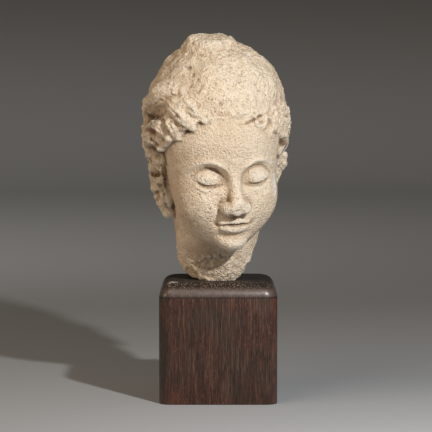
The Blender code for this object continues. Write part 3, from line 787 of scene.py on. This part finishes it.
def on_mesh(obj, choose, kind="face"):
    """Enters edit mode with the faces or edges for which choose is true selected."""
    bpy.context.view_layer.objects.active = obj
    bpy.ops.object.mode_set(mode="EDIT")
    bpy.ops.mesh.select_mode(type=kind.upper())
    bpy.ops.mesh.select_all(action="DESELECT")
    bm = bmesh.from_edit_mesh(obj.data)
    for part in bm.faces if kind == "face" else bm.edges:
        part.select_set(choose(part))
    bm.select_flush_mode()
    bmesh.update_edit_mesh(obj.data)


def bevelled(obj, choose, offset, segments):
    """Rounds the edges for which choose is true."""
    on_mesh(obj, choose, "edge")
    bpy.ops.mesh.bevel(offset=offset, segments=segments, profile=0.5)
    bpy.ops.object.mode_set(mode="OBJECT")


def under(level):
    """A choice of the edges that lie wholly under a level."""
    return lambda edge: max(v.co.z for v in edge.verts) < level


def upright(edge):
    return abs(edge.verts[0].co.z - edge.verts[1].co.z) > 0.05


# The block: upright edges rounded, a small step under the rounded-over top, foot eased
low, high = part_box("wood_block")
SIDE_ROUND = 0.009
TOP_ROUND = 0.010
STEP = 0.0007
FOOT_EASE = 0.0008
RING_ANGLE = 10
SLACK = 0.0001


def on_top(face):
    return face.normal.z > 0.9 and face.calc_center_median().z > high.z - SLACK


bpy.ops.object.select_all(action="DESELECT")
bpy.ops.mesh.primitive_cube_add(size=1, location=(low + high) / 2)
block = bpy.context.object
block.name = block.data.name = "waxed_wood_block"
block.scale = (high.x - low.x, high.y - low.y, high.z - low.z)
bpy.ops.object.transform_apply(location=True, rotation=True, scale=True)
bevelled(block, upright, SIDE_ROUND, 10)
middle = ((low.x + high.x) / 2, (low.y + high.y) / 2, 0)
half = Vector((high.x - low.x, high.y - low.y)) / 2
on_mesh(block, on_top)
bpy.ops.transform.translate(value=(0, 0, -TOP_ROUND - STEP))
inset, rise = 0.0, 0.0
for ring in range(-1, 90 // RING_ANGLE + 1):
    angle = math.radians(RING_ANGLE * ring)
    new_inset = STEP + (TOP_ROUND * (1 - math.cos(angle)) if ring > 0 else 0)
    new_rise = TOP_ROUND * math.sin(angle) + STEP if ring > 0 else STEP * (ring + 1)
    bpy.ops.mesh.extrude_region_move(TRANSFORM_OT_translate={"value": (0, 0, new_rise - rise)})
    across, deep = [(side - new_inset) / (side - inset) for side in half]
    bpy.ops.transform.resize(value=(across, deep, 1), center_override=middle)
    inset, rise = new_inset, new_rise
bpy.ops.object.mode_set(mode="OBJECT")
bevelled(block, under(low.z + SLACK), FOOT_EASE, 2)
bpy.ops.object.shade_smooth_by_angle(angle=math.radians(34))


class Wire:
    """One output of a finish's nodes, on which sums are written as plain maths."""

    def __init__(self, tree, out):
        self.tree, self.out = tree, out

    def node(self, kind, feeds=None, out=0, **settings):
        """A further node of the same finish, fed by sockets' names or numbers."""
        made = self.tree.nodes.new("ShaderNode" + kind)
        for key, value in settings.items():
            setattr(made, key, value)
        for key, value in (feeds or {}).items():
            if isinstance(value, Wire):
                self.tree.links.new(value.out, made.inputs[key])
            else:
                made.inputs[key].default_value = value
        return Wire(self.tree, made.outputs[out])

    def sum(self, operation, *others):
        """A Math node of this value and others."""
        return self.node("Math", dict(enumerate((self, *others))), operation=operation)

    def __add__(self, other):
        return self.sum("ADD", other)

    def __sub__(self, other):
        return self.sum("SUBTRACT", other)

    def __rsub__(self, other):
        return (self * -1) + other

    def __mul__(self, other):
        return self.sum("MULTIPLY", other)

    __radd__, __rmul__ = __add__, __mul__

    def held(self):
        """Kept between 0 and 1."""
        return self.node("Clamp", {0: self})

    def eased(self, low, high):
        """0 at low and 1 at high, with a soft rise between."""
        return self.node("MapRange", {0: self, 1: low, 2: high}, interpolation_type="SMOOTHSTEP")

    def scaled(self, x, y, z):
        """A place multiplied along each direction."""
        return self.node("VectorMath", {0: self, 1: (x, y, z)}, operation="MULTIPLY")

    def away(self, x, y, z):
        """Distance from a place."""
        return self.node("VectorMath", {0: self, 1: (x, y, z)}, out=1, operation="DISTANCE")

    def axes(self):
        """The x, y and z of a place."""
        split = self.node("SeparateXYZ", {0: self})
        return [Wire(self.tree, out) for out in split.out.node.outputs]

    def cloud(self, scale, detail=2.0, roughness=0.5):
        """Soft noise, mostly between 0.3 and 0.7."""
        feeds = {"Vector": self, "Scale": scale, "Detail": detail, "Roughness": roughness}
        return self.node("TexNoise", feeds)

    def cells(self, scale):
        """Distance from the nearest of many scattered points."""
        return self.node("TexVoronoi", {"Vector": self, "Scale": scale})

    def between(self, first, second):
        """The colour that lies this share of the way from one to another."""
        return self.node("Mix", {0: self, 6: first, 7: second}, out=2, data_type="RGBA")

    def dyed(self, colour, share):
        """This colour mixed towards another."""
        return share.between(self, colour)


def new_finish(name, **constants):
    """A finish with its shader's fixed values set, and the place its patterns read."""
    material = bpy.data.materials.new(name)
    material.use_nodes = True
    shader = material.node_tree.nodes["Principled BSDF"]
    for key, value in constants.items():
        shader.inputs[key.replace("_", " ")].default_value = value
    texture = material.node_tree.nodes.new("ShaderNodeTexCoord")
    return material, shader, Wire(material.node_tree, texture.outputs["Object"])


def connect(shader, name, wire):
    """Feeds one of the shader's sockets."""
    wire.tree.links.new(wire.out, shader.inputs[name])


def raised(shader, height, distance):
    """Relief on the surface: a height from 0 to 1 worth the distance in metres."""
    connect(shader, "Normal", height.node("Bump", {"Height": height, "Distance": distance}))


def put_on(obj, material):
    """Gives a piece its finish."""
    obj.data.materials.clear()
    obj.data.materials.append(material)


# Stucco: warm cream, mottled and stained, brown dirt and painted shade held in the hollows and on
# the throat, gritty skin
CREAM = (0.74, 0.59, 0.43, 1)
LIGHT_CREAM = (0.85, 0.725, 0.565, 1)
OCHRE_PATCH = (0.55, 0.41, 0.26, 1)
PALE_SAND = (0.90, 0.81, 0.68, 1)
BROWN_GRIT = (0.46, 0.33, 0.21, 1)
YELLOW_STAIN = (0.72, 0.58, 0.30, 1)
HOLLOW_DIRT_AND_SHADE = (0.29, 0.18, 0.10, 1)
DARK_SOIL_AND_SHADE = (0.13, 0.07, 0.037, 1)
PIT_SHADE = (0.26, 0.165, 0.095, 1)
RUBBED_RIDGE = (0.93, 0.86, 0.74, 1)
FRESH_CHIP = (0.95, 0.93, 0.89, 1)
STAIN_PLACE = (-0.003, -0.052, 0.237)

stucco, shader, place = new_finish("Worn stucco", Roughness=0.92, Specular_IOR_Level=0.25)
recess, pitted, crown, soil_and_shade, fresh = [
    place.node("Attribute", out=2, attribute_name=name)
    for name in ("recess", "pitted", "crown", "soil_and_shade", "fresh")
]
broad, patch = place.cloud(28, 4, 0.6), place.cloud(95, 4, 0.65)
grit, sand = place.cloud(560, 2, 0.7), place.cloud(1050, 1, 0.6)
hole = (1 - place.cells(520).eased(0.12, 0.34)) * place.cloud(210, 2).eased(0.5, 0.62)
stain = (1 - place.away(*STAIN_PLACE).eased(0.003, 0.012)) * patch.eased(0.4, 0.6)
# Brown dirt and painted shade: the deeper the hollow, the darker
dirt_and_shade = (recess.eased(0.08, 0.95) * (patch * 0.9 + 0.4)).held()
broken = fresh * 1.4 * place.cloud(420, 2).eased(0.35, 0.55)
colour = broad.eased(0.35, 0.65).between(CREAM, LIGHT_CREAM)
colour = colour.dyed(OCHRE_PATCH, patch.eased(0.5, 0.72) * 0.4)
colour = colour.dyed(PALE_SAND, sand.eased(0.52, 0.68) * 0.6)
colour = colour.dyed(BROWN_GRIT, (1 - grit).eased(0.5, 0.68) * 0.42)
colour = colour.dyed(YELLOW_STAIN, stain * 0.6)
colour = colour.dyed(HOLLOW_DIRT_AND_SHADE, dirt_and_shade * (0.68 - crown * 0.3))
# Soil and painted shade: dark brown in the hollows and pits, and painted shade on the throat
colour = colour.dyed(DARK_SOIL_AND_SHADE, (soil_and_shade * (grit * 0.7 + 0.6)).held() * 0.92)
colour = colour.dyed(PIT_SHADE, (hole * (pitted * 0.7 + crown * 0.2 + 0.04)).held())
colour = colour.dyed(RUBBED_RIDGE, (recess * -1).eased(0.1, 0.7) * 0.5)
colour = colour.dyed(FRESH_CHIP, broken.held())
connect(shader, "Base Color", colour)
crumbs = place.cloud(230, 3, 0.6) * (crown * 0.5 + pitted * 0.5 + 0.5)
sunken = hole * (pitted * 1.3 + crown * 0.6 + 0.1)
raised(shader, sand * 0.8 + grit * 1.1 + crumbs + patch * 1.3 - sunken, 0.0016)
put_on(head, stucco)

# Waxed dark hardwood: fine upright grain and pores, stippled end grain on top, worn wax at the
# edges, a painted sheen on the rounded-over edge, painted shade in the step's groove and down the
# left edge
BROWN_GRAIN = (0.041, 0.0155, 0.0085, 1)
RED_GRAIN = (0.056, 0.0205, 0.0115, 1)
GREY_BLOTCH = (0.047, 0.034, 0.024, 1)
RED_FLECK = (0.19, 0.050, 0.028, 1)
PALE_STREAK = (0.15, 0.082, 0.050, 1)
BLACK_STREAK = (0.012, 0.007, 0.005, 1)
PORE_SHADE = (0.009, 0.006, 0.005, 1)
WORN_RED = (0.21, 0.075, 0.040, 1)
PAINTED_SHEEN = (0.125, 0.100, 0.090, 1)
GROOVE_SHADE = (0.010, 0.007, 0.006, 1)
DARK_TOP = (0.016, 0.011, 0.008, 1)
END_GRAIN = (0.36, 0.25, 0.165, 1)
PALE_SCUFF = (0.75, 0.70, 0.62, 1)
GROOVE_HEIGHT = 0.0815
SCUFF_SHAPE = (0.3, 0.26, 0.5)
SCUFF_PLACE = (-0.0105, -0.0075, 0.046)

wood, shader, place = new_finish("Waxed dark wood", Coat_Roughness=0.32)
x, y, z = place.axes()
streak = place.scaled(1, 1, 0.04).cloud(1500, 2, 0.7)
strand = place.scaled(1, 1, 0.05).cloud(330, 3, 0.6)
blotch = place.cloud(30, 3, 0.6)
fleck = place.scaled(1, 1, 0.3).cloud(1200, 2, 0.6)
pore = 1 - place.scaled(1, 1, 0.06).cells(1500).eased(0.12, 0.36)
top = z.eased(0.0865, 0.0905)
bend = z.eased(0.080, 0.084) * (1 - top)
near_front = 1 - y.eased(-0.0445, -0.036)
edge_wear = x.eased(0.0385, 0.0435) * near_front * place.cloud(160, 3).eased(0.38, 0.6)
foot_wear = (1 - z.eased(0.003, 0.016)) * (1 - x.eased(-0.036, -0.02)) * 0.8
groove = 1 - (z - GROOVE_HEIGHT).sum("ABSOLUTE").eased(0.0002, 0.0007)
# Painted shade down the front's left upright edge
painted_shade_left_edge = (1 - x.eased(-0.0446, -0.034)) * near_front
stipple = 1 - place.scaled(1, 0.3, 1).cells(800).eased(0.16, 0.42)
scuff = 1 - place.scaled(*SCUFF_SHAPE).away(*SCUFF_PLACE).eased(0.0006, 0.0018)
colour = strand.eased(0.36, 0.64).between(BROWN_GRAIN, RED_GRAIN)
colour = colour.dyed(GREY_BLOTCH, blotch.eased(0.46, 0.66) * 0.4)
colour = colour.dyed(RED_FLECK, fleck.eased(0.52, 0.68) * (1 - blotch).eased(0.36, 0.60) * 0.9)
colour = colour.dyed(PALE_STREAK, streak.eased(0.52, 0.68) * 0.7)
colour = colour.dyed(BLACK_STREAK, (1 - streak).eased(0.5, 0.68) * 0.8)
colour = colour.dyed(PORE_SHADE, (pore * 0.8).held())
colour = colour.dyed(WORN_RED, ((edge_wear + foot_wear) * 0.33).held())
# A painted sheen: greyish colour along the rounded-over top edge
colour = colour.dyed(PAINTED_SHEEN, bend * (strand * 0.5 + 0.25))
# Painted shade in the step's groove and down the left edge
colour = colour.dyed(GROOVE_SHADE, ((groove + painted_shade_left_edge) * 0.75).held())
colour = colour.dyed(DARK_TOP, top * 0.92)
# Pale end grain on the top's front band, fading out towards the back as a painted shade there
colour = colour.dyed(END_GRAIN, stipple * top * (1 - y.eased(-0.032, -0.010)) * 0.8)
colour = colour.dyed(PALE_SCUFF, scuff * place.cloud(420, 3, 0.7).eased(0.42, 0.54) * 0.85)
connect(shader, "Base Color", colour)
connect(shader, "Roughness", (streak * 0.25 + pore * 0.2 + top * 0.5 + 0.3).held())
low_wax = (1 - z.eased(0.076, 0.084)) * 0.12
connect(shader, "Coat Weight", (bend * 0.9 + low_wax + strand * 0.1).held())
raised(shader, streak * 0.7 - pore * 0.8 + strand * 0.3, 0.0003)
put_on(block, wood)

# Floor: one pale round sheet that sweeps up into the backdrop all round; its grey is painted light,
# lighter outwards from near the block, and painted shade, darker up the wall
SWEEP_RADIUS = 3.4
SWEEP_HEIGHT = 1.3
SWEEP_BEND = 1.0
NEAR_GREY = (0.446, 0.469, 0.499, 1)
FAR_GREY = (0.80, 0.80, 0.79, 1)
WALL_PAINTED_SHADE = (0.36, 0.355, 0.335, 1)

bpy.ops.object.select_all(action="DESELECT")
bpy.ops.mesh.primitive_circle_add(
    vertices=128, radius=SWEEP_RADIUS, fill_type="NGON", location=(0, 0, 0)
)
sweep = bpy.context.object
sweep.name = sweep.data.name = "pale_sweep"
on_mesh(sweep, lambda edge: True, "edge")
bpy.ops.mesh.extrude_edges_move(TRANSFORM_OT_translate={"value": (0, 0, SWEEP_HEIGHT)})
bpy.ops.mesh.select_all(action="DESELECT")
bpy.ops.object.mode_set(mode="OBJECT")
bevelled(sweep, under(0.01), SWEEP_BEND, 20)
sweep.data.shade_smooth()
paper, shader, place = new_finish("Pale backdrop", Roughness=0.85, Specular_IOR_Level=0.1)
x, y, z = place.axes()
# Painted light: the grey lightens outwards from just in front of the block
outward_painted_light = place.scaled(1, 1, 0).away(0, -0.35, 0).eased(0.2, 2.2)
grey = outward_painted_light.between(NEAR_GREY, FAR_GREY)
# Painted shade: the grey darkens up the wall
connect(shader, "Base Color", grey.dyed(WALL_PAINTED_SHADE, z.eased(0.04, 0.46)))
put_on(sweep, paper)


def lamp(name, place, size, power, colour, aim):
    """A soft lamp of a width and height at a place, aimed at another, itself out of the picture."""
    away = Vector(place) - Vector(aim)
    bpy.ops.object.light_add(
        type="AREA", location=place, rotation=away.to_track_quat("Z", "Y").to_euler()
    )
    light = bpy.context.object
    light.name = name
    light.data.shape = "RECTANGLE"
    light.data.size, light.data.size_y = size
    light.data.energy, light.data.color = power, colour
    light.visible_camera = False


lamp("Key", (0.30, -0.60, 0.445), (0.03, 0.03), 4.6, (1.0, 0.965, 0.93), (0, 0, 0.15))
lamp("Upper", (-0.45, -0.62, 0.95), (0.5, 0.5), 2.4, (1.0, 0.86, 0.67), (0, 0, 0.15))
lamp("Side", (-1.1, -0.40, 0.34), (0.4, 0.4), 2.9, (1.0, 0.69, 0.44), (0, 0, 0.2))
lamp("Back", (-0.75, 0.9, 1.05), (1.4, 1.4), 2.8, (1.0, 0.99, 0.97), (-1.1, 3.0, 0.2))
world = bpy.data.worlds.new("Studio")
scene.world = world
world.use_nodes = True
background = world.node_tree.nodes["Background"]
background.inputs["Color"].default_value = (1.0, 0.965, 0.915, 1)
background.inputs["Strength"].default_value = 0.07

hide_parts("stucco_head")
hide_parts("wood_block")
for piece, slot in ((head, "stucco"), (block, "wood")):
    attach(piece, "root")
